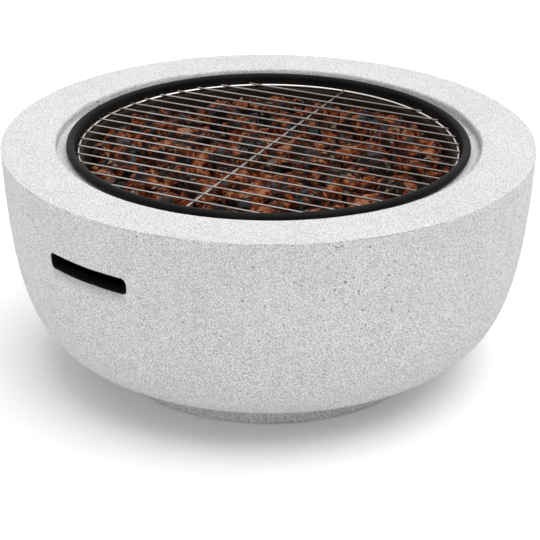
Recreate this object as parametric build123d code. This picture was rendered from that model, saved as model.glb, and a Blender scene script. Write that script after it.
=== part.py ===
from build123d import *
import math
import os

# Round fire pit, in millimetres: a hollow cast shell on a foot ring, a steel fire bowl that
# hangs in it by its curled rim, a charcoal grate on legs and a cooking grate on a seat.
# The origin is the middle of the footprint, +Z is up and the hand slots lie on the X axis.

# Cast shell
rim_radius = 340.0  # outer edge of the flat top
body_height = 265.0  # flat underside to flat top
draft_angle = 2.0  # lean of the side, in degrees
side_run = 202.0  # height over which the side stays nearly straight
base_radius = 218.0  # where the belly meets the flat underside
belly_reach = 87.0  # pull of the belly outwards from there
shell_wall = 16.0
ledge_thickness = 16.0
recess_depth = 12.0  # flat top down to the ledge that carries the bowl
recess_gap = 12.5  # open ring between the bowl's rim and the recess
mouth_clearance = 1.5  # between the bowl's wall and the edge of the ledge
top_edge_round = 3.0
recess_edge_round = 2.0
drain_radius = 12.0

# Hand slots, one at each end of the X axis
slot_length = 120.0
slot_height = 17.0
slot_corner = 6.0
slot_edge_round = 2.0
slot_drop = 76.0  # flat top down to the middle of the slot

# Foot ring
foot_height = 37.0
foot_radius = 211.0
foot_wall = 40.0
foot_edge_round = 3.0

# Fibre spacers between the ledge and the rim of the bowl
spacer_count = 3
spacer_angle = -33.0  # plan angle of the first one, in degrees
spacer_thickness = 1.0
spacer_width = 14.0
spacer_inset = 0.5  # from the edge of the ledge
spacer_length = 15.0

# Fire bowl, pressed from one sheet
bowl_sheet = 1.5
bowl_mouth_radius = 247.0  # inside the upper wall
bowl_depth = 120.0  # top of the rim down to the floor
curl_diameter = 11.0  # outside of the rolled rim
seat_depth = 16.2  # top of the rim down to the seat of the cooking grate
seat_width = 10.5
seat_bend = 3.0  # inner radius of the two bends at the seat
bowl_floor_radius = 212.0  # where the lines of the wall and of the floor would meet
bowl_floor_bend = 45.0  # inner radius of the bend between wall and floor
air_hole_count = 6
air_hole_radius = 5.0
air_hole_circle = 70.0

# What rests loose stands this far off its seat
seat_gap = 0.3

# Welded wire grates
weld_sink = 0.6  # how far one wire is pressed into the wire it crosses

# Cooking grate
cook_clearance = 2.2  # bar ends to the wall of the bowl
cook_ring_wire = 3.5
cook_bar_wire = 2.5
cook_bar_count = 18
cook_bar_edge = 34.9  # outermost bars to the middle line of the ring
cook_bar_overhang = 2.0  # bar ends past the middle line of the ring
cook_angle = -75.9  # plan angle of the bars, in degrees

# Charcoal grate
charcoal_clearance = 5.0  # bar ends to the wall of the bowl
charcoal_ring_wire = 6.0
charcoal_bar_wire = 5.0
charcoal_bar_count = 15
charcoal_bar_edge = 20.0  # outermost bars to the middle line of the ring
charcoal_bar_overhang = 4.5  # bar ends past the middle line of the ring
charcoal_cross_pitch = 220.0
charcoal_angle = 14.0  # plan angle of the bars, in degrees
leg_wire = 6.0
leg_height = 46.0  # floor of the bowl up to the middle of the ring
leg_spread = 200.0  # between the two legs of one cross wire

# Charcoal, one layer of lumps in rows round the middle, the last row being the middle lump
lump_row_count = 4
lump_height = 46.0
lump_height_spread = 10.0  # difference between tall and low lumps
lump_gap = 2.0  # least gap between neighbours
lump_clearance = 3.0  # outermost lumps to the wall of the bowl
lump_turn = 137.5  # turn from one lump to the next, in degrees
lump_fewest_sides = 5
lump_side_choices = 3  # five, six or seven sides
lump_break_tilt = 36.0  # slope of the two pairs of broken faces, in degrees
lump_break_spread = 10.0  # difference of that slope between lumps, in degrees
lump_break_turn = 22.0  # plan turn of the broken faces, in degrees
lump_break_share = 1.2  # thickness left between a pair of broken faces, as a share of the height

# Levels, from the floor up
underside_z = foot_height
top_z = foot_height + body_height
ledge_z = top_z - recess_depth
cavity_top_z = ledge_z - ledge_thickness
slot_z = top_z - slot_drop
curl_radius = curl_diameter / 2
curl_z = ledge_z + spacer_thickness + seat_gap + curl_radius
bowl_top_z = curl_z + curl_radius
seat_z = bowl_top_z - seat_depth
bowl_floor_z = bowl_top_z - bowl_depth
cook_ring_z = seat_z + seat_gap + cook_ring_wire / 2
charcoal_ring_z = bowl_floor_z + leg_height
charcoal_bar_top_z = charcoal_ring_z + charcoal_ring_wire / 2 + charcoal_bar_wire - weld_sink
lump_z = charcoal_bar_top_z + seat_gap

# Radii that follow from what fits where
curl_middle_radius = bowl_mouth_radius + curl_radius
recess_radius = bowl_mouth_radius + curl_diameter + recess_gap
mouth_radius = bowl_mouth_radius + bowl_sheet + mouth_clearance
seat_radius = bowl_mouth_radius - seat_width


def bowl_inner_radius(z):
    """Radius of the bowl's inner wall at a height between its floor and its seat."""
    run = seat_radius - bowl_floor_radius
    rise = seat_z - bowl_floor_z
    lean = math.atan2(run, rise)
    tangent = bowl_floor_bend * math.tan((math.pi / 2 - lean) / 2)
    if z - bowl_floor_z >= tangent * math.cos(lean):
        return bowl_floor_radius + run * (z - bowl_floor_z) / rise
    drop = bowl_floor_bend - (z - bowl_floor_z)
    return bowl_floor_radius - tangent + math.sqrt(bowl_floor_bend**2 - drop**2)


cook_bar_end_radius = bowl_mouth_radius - cook_clearance
cook_ring_radius = cook_bar_end_radius - cook_bar_overhang
charcoal_ring_low_z = charcoal_ring_z - charcoal_ring_wire / 2
charcoal_bar_end_radius = bowl_inner_radius(charcoal_ring_low_z) - charcoal_clearance
charcoal_ring_radius = charcoal_bar_end_radius - charcoal_bar_overhang
lump_room = bowl_inner_radius(lump_z) - lump_clearance + lump_gap / 2
lump_pitch = lump_room / (lump_row_count - 0.5)
lump_radius = (lump_pitch - lump_gap) / 2


def circle_edges(solid, radius, z):
    """The full circle edges of a turned solid at one radius and height."""
    found = solid.edges().filter_by(GeomType.CIRCLE)
    return [e for e in found if abs(e.radius - radius) < 0.01 and abs(e.center().Z - z) < 0.01]


def moved_line(points, distance):
    """The points of an open line moved sideways, to its right, with its corners kept sharp."""
    turns = [(Vector(*b) - Vector(*a)).normalized() for a, b in zip(points, points[1:])]
    sides = [Vector(t.Y, -t.X) for t in turns]
    ends = [sides[0]] + [(a + b) / (1 + a.dot(b)) for a, b in zip(sides, sides[1:])] + [sides[-1]]
    return [(p[0] + s.X * distance, p[1] + s.Y * distance) for p, s in zip(points, ends)]


def slot_mouth_edges(solid):
    """The edges of the hand slots on the outside of the casting."""
    wall_radius = rim_radius - side_run * math.tan(math.radians(draft_angle)) - shell_wall / 2
    found = []
    for edge in solid.edges():
        across = abs(edge.center().Y) < slot_length / 2 + slot_edge_round
        level = abs(edge.center().Z - slot_z) < slot_height / 2 + slot_edge_round
        ends = [math.hypot(v.X, v.Y) > wall_radius for v in edge.vertices()]
        if across and level and len(ends) == 2 and all(ends):
            found.append(edge)
    return found


def cast_body():
    """Hollow casting: drafted side, round belly, flat top with the recess, two hand slots."""
    lean = math.tan(math.radians(draft_angle))
    outer = [
        (rim_radius, top_z),
        (rim_radius - side_run * lean, top_z - side_run),
        (base_radius + belly_reach, underside_z),
        (base_radius, underside_z),
    ]
    cavity_drop = top_z - cavity_top_z
    inner = [
        (base_radius, underside_z + shell_wall),
        (base_radius + belly_reach - shell_wall / 2, underside_z + shell_wall),
        (rim_radius - side_run * lean - shell_wall, top_z - side_run),
        (rim_radius - cavity_drop * lean - shell_wall, cavity_top_z),
    ]
    with BuildPart() as body:
        with BuildSketch(Plane.XZ):
            with BuildLine():
                Bezier(*outer)
                Polyline(
                    outer[-1],
                    (drain_radius, underside_z),
                    (drain_radius, underside_z + shell_wall),
                    inner[0],
                )
                Bezier(*inner)
                Polyline(
                    inner[-1],
                    (mouth_radius, cavity_top_z),
                    (mouth_radius, ledge_z),
                    (recess_radius, ledge_z),
                    (recess_radius, top_z),
                    outer[0],
                )
            make_face()
        revolve(axis=Axis.Z)
        fillet(circle_edges(body, rim_radius, top_z), top_edge_round)
        fillet(circle_edges(body, recess_radius, top_z), recess_edge_round)
        with BuildSketch(Plane.YZ):
            with Locations((0, slot_z)):
                RectangleRounded(slot_length, slot_height, slot_corner)
        extrude(amount=rim_radius, both=True, mode=Mode.SUBTRACT)
        fillet(slot_mouth_edges(body), slot_edge_round)
    return body.part


def foot_ring():
    """Low ring cast for the shell to stand on."""
    with BuildPart() as foot:
        Cylinder(foot_radius, foot_height, align=(Align.CENTER, Align.CENTER, Align.MIN))
        bore_radius = foot_radius - foot_wall
        Cylinder(
            bore_radius,
            foot_height,
            align=(Align.CENTER, Align.CENTER, Align.MIN),
            mode=Mode.SUBTRACT,
        )
        fillet(circle_edges(foot, foot_radius, 0.0), foot_edge_round)
    return foot.part


def rim_spacer(number):
    """Flat fibre pad that lies on the ledge and reaches out from under the curled rim."""
    pad = Box(
        spacer_length,
        spacer_width,
        spacer_thickness,
        align=(Align.MIN, Align.CENTER, Align.MIN),
    )
    angle = spacer_angle + 360 / spacer_count * number
    return Rot(0, 0, angle) * Pos(mouth_radius + spacer_inset, 0, ledge_z) * pad


def fire_bowl():
    """Pressed sheet bowl: rolled rim, upright band, seat, leaning wall, floor with air holes."""
    inside = [
        (bowl_mouth_radius, curl_z),
        (bowl_mouth_radius, seat_z),
        (seat_radius, seat_z),
        (bowl_floor_radius, bowl_floor_z),
        (0.0, bowl_floor_z),
    ]
    outside = moved_line(inside, -bowl_sheet)
    inside_bends = [seat_bend, seat_bend + bowl_sheet, bowl_floor_bend]
    outside_bends = [seat_bend + bowl_sheet, seat_bend, bowl_floor_bend + bowl_sheet]
    with BuildPart() as bowl:
        with BuildSketch(Plane.XZ):
            with BuildLine():
                FilletPolyline(*inside, radius=inside_bends)
                Line(inside[-1], outside[-1])
                FilletPolyline(*outside, radius=outside_bends)
                Line(outside[0], inside[0])
            make_face()
            with Locations((curl_middle_radius, curl_z)):
                with BuildSketch(mode=Mode.PRIVATE) as curl:
                    Circle(curl_radius)
                    Circle(curl_radius - bowl_sheet, mode=Mode.SUBTRACT)
                    Rectangle(
                        curl_radius,
                        curl_radius,
                        align=(Align.MAX, Align.MAX),
                        mode=Mode.SUBTRACT,
                    )
                add(curl.sketch)
        revolve(axis=Axis.Z)
        with Locations((0, 0, bowl_floor_z)):
            with PolarLocations(air_hole_circle, air_hole_count):
                Cylinder(air_hole_radius, 4 * bowl_sheet, mode=Mode.SUBTRACT)
    return bowl.part


def wire(wire_diameter, length):
    """Straight round wire along X, with its middle at the origin."""
    return Rot(0, 90, 0) * Cylinder(wire_diameter / 2, length)


def wire_ring(radius, wire_diameter, z):
    """Closed ring of round wire."""
    return Pos(0, 0, z) * Torus(radius, wire_diameter / 2)


def grate_bars(ring_radius, ring_wire, ring_z, bar_wire, count, edge, end_radius, angle):
    """Parallel bars, evenly spaced and welded on top of a ring, in order across it."""
    pitch = 2 * (ring_radius - edge) / (count - 1)
    bar_z = ring_z + (ring_wire + bar_wire) / 2 - weld_sink
    bars = []
    for step in range(count):
        offset = (step - (count - 1) / 2) * pitch
        length = 2 * math.sqrt(end_radius**2 - offset**2)
        bars.append(Rot(0, 0, angle) * Pos(0, offset, bar_z) * wire(bar_wire, length))
    return bars


def cross_wire(ring_radius, ring_wire, ring_z, offset, angle):
    """Wire under the bars and square to them, with its ends welded into the ring."""
    length = 2 * math.sqrt(ring_radius**2 - offset**2)
    return Rot(0, 0, angle + 90) * Pos(0, offset, ring_z) * wire(ring_wire, length)


def charcoal_legs():
    """Short wire legs under the cross wires of the charcoal grate."""
    height = leg_height - seat_gap
    leg = Cylinder(leg_wire / 2, height, align=(Align.CENTER, Align.CENTER, Align.MAX))
    legs = []
    for across in (-0.5, 0.5):
        for along in (-0.5, 0.5):
            place = Pos(along * leg_spread, across * charcoal_cross_pitch, charcoal_ring_z)
            legs.append(Rot(0, 0, charcoal_angle + 90) * place * leg)
    return legs


def charcoal_lump(number):
    """Faceted lump with a flat underside, each with its own turn, height and breaks."""
    turn = number * lump_turn
    wave = math.sin(math.radians(turn))
    height = lump_height - lump_height_spread * (1 + wave) / 2
    sides = lump_fewest_sides + number % lump_side_choices
    block = extrude(RegularPolygon(lump_radius, sides), height)
    middle = Pos(0, 0, height / 2)
    slab = Box(2 * lump_radius, 2 * lump_radius, lump_break_share * height)
    tilt = lump_break_tilt + lump_break_spread * wave
    first_break = middle * Rot(0, 0, lump_break_turn) * Rot(tilt, 0, 0) * slab
    second_break = middle * Rot(0, 0, -lump_break_turn) * Rot(0, tilt, 0) * slab
    return Rot(0, 0, turn) * (block & first_break & second_break)


def charcoal_rows():
    """Lumps in rows round the middle, outermost row first, with six more in each row outwards."""
    rows = []
    number = 0
    for step in reversed(range(lump_row_count)):
        count = max(1, 6 * step)
        lumps = []
        for place_number in range(count):
            place = Rot(0, 0, 360 / count * place_number) * Pos(step * lump_pitch, 0, lump_z)
            lumps.append(place * charcoal_lump(number))
            number += 1
        rows.append(Compound(children=lumps))
    return rows


def write(name, shape):
    """Save one piece under its own name."""
    export_step(shape, os.path.join("parts", name + ".step"))


def write_each(name, shapes):
    """Save like pieces under one name with a number."""
    for number, shape in enumerate(shapes, start=1):
        write(f"{name}_{number:02d}", shape)


os.makedirs("parts", exist_ok=True)

write("cast_body", cast_body())
write("foot_ring", foot_ring())
write_each("rim_spacer", [rim_spacer(number) for number in range(spacer_count)])
write("fire_bowl", fire_bowl())

charcoal_wires = (charcoal_ring_radius, charcoal_ring_wire, charcoal_ring_z)
write("charcoal_ring", wire_ring(*charcoal_wires))
charcoal_bars = grate_bars(
    *charcoal_wires,
    charcoal_bar_wire,
    charcoal_bar_count,
    charcoal_bar_edge,
    charcoal_bar_end_radius,
    charcoal_angle,
)
write_each("charcoal_bar", charcoal_bars)
charcoal_crosses = [
    cross_wire(*charcoal_wires, across * charcoal_cross_pitch, charcoal_angle)
    for across in (-0.5, 0.5)
]
write_each("charcoal_cross", charcoal_crosses)
write_each("charcoal_leg", charcoal_legs())
write_each("charcoal_row", charcoal_rows())

cook_wires = (cook_ring_radius, cook_ring_wire, cook_ring_z)
write("cook_ring", wire_ring(*cook_wires))
cook_bars = grate_bars(
    *cook_wires, cook_bar_wire, cook_bar_count, cook_bar_edge, cook_bar_end_radius, cook_angle
)
write_each("cook_bar", cook_bars)
write("cook_cross", cross_wire(*cook_wires, 0, cook_angle))
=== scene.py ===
"""Looks of a round cast fire pit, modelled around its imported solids.

Sizes are in metres, in the frame of the solids: the origin is the middle of the footprint,
+Z is up and the photographed hand slot faces -X.
"""
import logging
import math
import random
from contextlib import contextmanager
from dataclasses import dataclass
from enum import Enum
from typing import Callable, Iterator, Sequence, Union

import bmesh
import bpy
from mathutils import Euler, Matrix, Vector

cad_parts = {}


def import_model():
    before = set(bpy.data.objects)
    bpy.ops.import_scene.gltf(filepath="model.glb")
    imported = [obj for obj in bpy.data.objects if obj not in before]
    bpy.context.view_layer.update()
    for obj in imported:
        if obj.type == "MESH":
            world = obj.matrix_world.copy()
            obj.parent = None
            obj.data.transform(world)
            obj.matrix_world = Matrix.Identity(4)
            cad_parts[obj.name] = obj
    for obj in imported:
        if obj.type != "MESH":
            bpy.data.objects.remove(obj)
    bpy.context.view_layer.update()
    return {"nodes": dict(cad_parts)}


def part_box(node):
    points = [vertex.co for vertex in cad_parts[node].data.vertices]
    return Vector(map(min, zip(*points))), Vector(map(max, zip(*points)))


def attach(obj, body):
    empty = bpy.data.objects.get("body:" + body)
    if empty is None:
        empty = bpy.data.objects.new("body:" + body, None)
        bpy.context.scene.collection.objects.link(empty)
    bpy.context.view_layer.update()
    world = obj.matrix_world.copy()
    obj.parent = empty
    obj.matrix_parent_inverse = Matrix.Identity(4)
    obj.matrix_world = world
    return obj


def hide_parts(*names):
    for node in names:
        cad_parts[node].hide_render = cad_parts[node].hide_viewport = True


LOG = logging.getLogger("fire_pit")
MM = 0.001
TURN = 2 * math.pi
NEAR = 1e-6
MERGE = 1e-5
CREASE = 35.0
SPOT_CORE = 0.6
LOWER_BARS = math.radians(14.0)
UPPER_BARS = math.radians(-75.9)

Colour = tuple[float, float, float, float]
Place = tuple[float, float, float]
Point2 = tuple[float, float]
Run = tuple[Vector, Vector, float]
Piece = bpy.types.Object
Material = bpy.types.Material
Socket = bpy.types.NodeSocket
Input = Union[float, Colour, Socket]

NOISE: Point2 = (-0.2, 0.2)
RISE: Point2 = (0.0, 1.0)
FALL: Point2 = (1.0, 0.0)


class Body(Enum):
    """Bodies that the pieces ride on."""

    SHELL = "shell"
    BOWL = "bowl"
    CHARCOAL_GRATE = "charcoal_grate"
    COOKING_GRATE = "cooking_grate"


class Slot(Enum):
    """Material slots of the record."""

    STONE = "cast_stone"
    ENAMEL = "bowl_enamel"
    CHROME = "chrome_wire"
    STEEL = "heat_steel"
    CHARCOAL = "charcoal"
    FIBRE = "fibre_pad"


# Workbench


def select_only(piece: Piece) -> None:
    """Select one object alone and make it the active one.

    Args:
        piece: the object.
    """
    bpy.ops.object.select_all(action="DESELECT")
    piece.select_set(True)
    bpy.context.view_layer.objects.active = piece


def primitive(add: Callable, **settings: object) -> Piece:
    """Add a primitive to start a piece from.

    Args:
        add: Blender's operator for it.
        **settings: its sizes and counts.

    Returns:
        The new object, which alone is selected.
    """
    bpy.ops.object.select_all(action="DESELECT")
    add(**settings)
    return bpy.context.object


@contextmanager
def editing(piece: Piece) -> Iterator[None]:
    """Hold a piece in edit mode with all of it selected, and leave edit mode at the end.

    Args:
        piece: the object to edit.
    """
    select_only(piece)
    bpy.ops.object.mode_set(mode="EDIT")
    bpy.ops.mesh.select_mode(type="VERT")
    bpy.ops.mesh.select_all(action="SELECT")
    yield
    bpy.ops.object.mode_set(mode="OBJECT")


def pick(piece: Piece, wanted: Callable[[Vector], bool]) -> None:
    """Select the vertices of a piece in edit mode by their place.

    Args:
        piece: the object in edit mode.
        wanted: says of a vertex's place whether it is selected.
    """
    grid = bmesh.from_edit_mesh(piece.data)
    for vertex in grid.verts:
        vertex.select = wanted(vertex.co)
    grid.select_flush_mode()
    bmesh.update_edit_mesh(piece.data)


def reshape(piece: Piece, moved: Callable[[Vector], Vector]) -> None:
    """Move the selected vertices of a piece in edit mode.

    Args:
        piece: the object in edit mode.
        moved: gives a vertex's new place from its old one.
    """
    grid = bmesh.from_edit_mesh(piece.data)
    for vertex in grid.verts:
        if vertex.select:
            vertex.co = moved(vertex.co)
    bmesh.update_edit_mesh(piece.data)


def settle(piece: Piece, place: Matrix) -> Piece:
    """Put a piece at a place and move that place into its mesh.

    Args:
        piece: an object at the origin.
        place: where it goes.

    Returns:
        The same object, at the origin again.
    """
    select_only(piece)
    piece.matrix_world = place
    bpy.ops.object.transform_apply(location=True, rotation=True, scale=True)
    return piece


def apply_modifier(piece: Piece, kind: str, **settings: object) -> None:
    """Add a modifier and apply it.

    Args:
        piece: the object to change.
        kind: Blender's name for the modifier.
        **settings: values of the modifier.
    """
    modifier = piece.modifiers.new(kind.lower(), kind)
    for setting, value in settings.items():
        setattr(modifier, setting, value)
    select_only(piece)
    bpy.ops.object.modifier_apply(modifier=modifier.name)


def link(name: str, data: bpy.types.ID) -> Piece:
    """Put a new object into the scene.

    Args:
        name: its name.
        data: its mesh, lamp or camera.

    Returns:
        The object.
    """
    holder = bpy.data.objects.new(name, data)
    bpy.context.scene.collection.objects.link(holder)
    return holder


def copy_of(piece: Piece) -> Piece:
    """A copy of a piece with a mesh of its own."""
    return link(piece.name, piece.data.copy())


def join(pieces: Sequence[Piece]) -> Piece:
    """Join several objects into the first one.

    Args:
        pieces: the objects, at least one.

    Returns:
        The first object, which now holds all the meshes.
    """
    bpy.ops.object.select_all(action="DESELECT")
    for piece in pieces:
        piece.select_set(True)
    bpy.context.view_layer.objects.active = pieces[0]
    bpy.ops.object.join()
    return pieces[0]


def discard(piece: Piece) -> None:
    """Delete a helper object."""
    bpy.data.objects.remove(piece)


def smooth(piece: Piece, crease: float) -> None:
    """Shade a piece smooth where its faces meet at less than an angle in degrees."""
    select_only(piece)
    bpy.ops.object.shade_smooth_by_angle(angle=math.radians(crease))


def dress(piece: Piece, finish: Material, crease: float = CREASE) -> Piece:
    """Give a piece its finish and shade it smooth.

    Args:
        piece: the object to dress.
        finish: its only material.
        crease: angle in degrees from which its edges stay sharp.

    Returns:
        The same object.
    """
    piece.data.materials.clear()
    piece.data.materials.append(finish)
    smooth(piece, crease)
    return piece


def roughen(piece: Piece, size: float, depth: float, layers: int = 2) -> None:
    """Push the surface of a piece in and out by clouds.

    Args:
        piece: the object to change.
        size: width of the clouds.
        depth: distance from the deepest to the highest place.
        layers: how many finer layers the clouds have.
    """
    clouds = bpy.data.textures.new("clouds", "CLOUDS")
    clouds.noise_scale = size
    clouds.noise_depth = layers
    apply_modifier(piece, "DISPLACE", texture=clouds, strength=depth, mid_level=0.5)


def hand_over(piece: Piece, name: str, body: Body, stands_for: Sequence[str] = ()) -> Piece:
    """Name a finished piece, put it on its body and report it.

    Args:
        piece: the finished object.
        name: its name in the table of pieces.
        body: the body that it moves with.
        stands_for: the solids that it replaces.

    Returns:
        The same object.
    """
    piece.name = name
    piece.data.name = name
    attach(piece, body.value)
    if stands_for:
        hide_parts(*stands_for)
    LOG.info("%s: %d faces on %s", name, len(piece.data.polygons), body.value)
    return piece


# Outlines


def arc(middle: Point2, radius: float, start: float, end: float, steps: int) -> list[Point2]:
    """Points of an arc in a section.

    Args:
        middle: centre of the arc, as radius and height.
        radius: radius of the arc.
        start: first angle in degrees, from outwards towards up.
        end: last angle in degrees.
        steps: number of spans.

    Returns:
        The points, both ends included.
    """
    turns = [math.radians(start + (end - start) * step / steps) for step in range(steps + 1)]
    return [(middle[0] + radius * math.cos(a), middle[1] + radius * math.sin(a)) for a in turns]


def bezier(corners: Sequence[Point2], share: float) -> Point2:
    """Point of a cubic curve.

    Args:
        corners: the four points that draw the curve.
        share: 0 at the first of them and 1 at the last.

    Returns:
        The point, as radius and height.
    """
    rest = 1 - share
    weights = (rest**3, 3 * rest**2 * share, 3 * rest * share**2, share**3)
    radius = sum(w * c[0] for w, c in zip(weights, corners))
    height = sum(w * c[1] for w, c in zip(weights, corners))
    return radius, height


def line(start: Point2, end: Point2, steps: int) -> list[Point2]:
    """Points of a straight run, with both ends."""
    shares = [step / steps for step in range(steps + 1)]
    return [tuple(a + (b - a) * share for a, b in zip(start, end)) for share in shares]


def lathe(section: Sequence[Point2], steps: int, closed: bool) -> Piece:
    """Turn a section about the Z axis.

    The section grows from one vertex by extrusion and is then spun.

    Args:
        section: its points, as radius and height.
        steps: number of spans round the axis.
        closed: whether the last point joins the first.

    Returns:
        The turned object, its faces pointing outwards.
    """
    piece = primitive(bpy.ops.mesh.primitive_plane_add, size=MM)
    with editing(piece):
        bpy.ops.mesh.merge(type="CENTER")
        reshape(piece, lambda _: Vector((section[0][0], 0, section[0][1])))
        for here, there in zip(section, section[1:]):
            step = (there[0] - here[0], 0, there[1] - here[1])
            bpy.ops.mesh.extrude_vertices_move(TRANSFORM_OT_translate={"value": step})
        if closed:
            ends = (section[0], section[-1])
            pick(piece, lambda co: any(math.dist((co.x, co.z), end) < NEAR for end in ends))
            bpy.ops.mesh.edge_face_add()
        bpy.ops.mesh.select_all(action="SELECT")
        bpy.ops.mesh.spin(steps=steps, angle=TURN, center=(0, 0, 0), axis=(0, 0, 1))
        bpy.ops.mesh.select_all(action="SELECT")
        bpy.ops.mesh.remove_doubles(threshold=MERGE)
        bpy.ops.mesh.normals_make_consistent(inside=False)
    return piece


# Finishes


def shifted(span: Point2, start: float) -> Point2:
    """A span of values moved by a start."""
    return start + span[0], start + span[1]


class Nodes:
    """Node tree that is built up node by node."""

    def __init__(self, tree: bpy.types.NodeTree) -> None:
        """Work on a tree."""
        self.tree = tree

    def node(self, kind: str, inputs: dict | None = None, **options: object) -> bpy.types.Node:
        """Add a node.

        Args:
            kind: Blender's name for the node.
            inputs: a value or a socket for each input, by name or number.
            **options: settings of the node.

        Returns:
            The new node.
        """
        made = self.tree.nodes.new(kind)
        for option, value in options.items():
            setattr(made, option, value)
        self.feed(made, inputs or {})
        return made

    def feed(self, made: bpy.types.Node, inputs: dict) -> None:
        """Set or link inputs of a node.

        Args:
            made: the node.
            inputs: a value or a socket for each input, by name or number.
        """
        for key, value in inputs.items():
            if isinstance(value, Socket):
                self.tree.links.new(value, made.inputs[key])
            else:
                made.inputs[key].default_value = value

    def combine(self, operation: str, *values: Input) -> Socket:
        """Result of a Math node on one to three values."""
        inputs = dict(enumerate(values))
        return self.node("ShaderNodeMath", inputs, operation=operation).outputs["Value"]

    def product(self, *values: Input) -> Socket:
        """Product of two or more values.

        Args:
            *values: the values.

        Returns:
            The product.
        """
        result = values[0]
        for value in values[1:]:
            result = self.combine("MULTIPLY", result, value)
        return result

    def added(self, base: Input, *parts: tuple[Input, Input]) -> Socket:
        """A base value plus weighted values.

        Args:
            base: the value to start from.
            *parts: value and weight of each thing that is added.

        Returns:
            The total.
        """
        total = base
        for value, weight in parts:
            total = self.combine("MULTIPLY_ADD", value, weight, total)
        return total

    def most(self, *values: Input) -> Socket:
        """Largest of two or more values.

        Args:
            *values: the values.

        Returns:
            The largest.
        """
        result = values[0]
        for value in values[1:]:
            result = self.combine("MAXIMUM", result, value)
        return result

    def shown(self) -> Socket:
        """1 for rays that show the background, from the camera, off gloss or through glass."""
        path = self.node("ShaderNodeLightPath").outputs
        return self.most(*(path[f"Is {ray} Ray"] for ray in ("Camera", "Glossy", "Transmission")))


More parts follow.
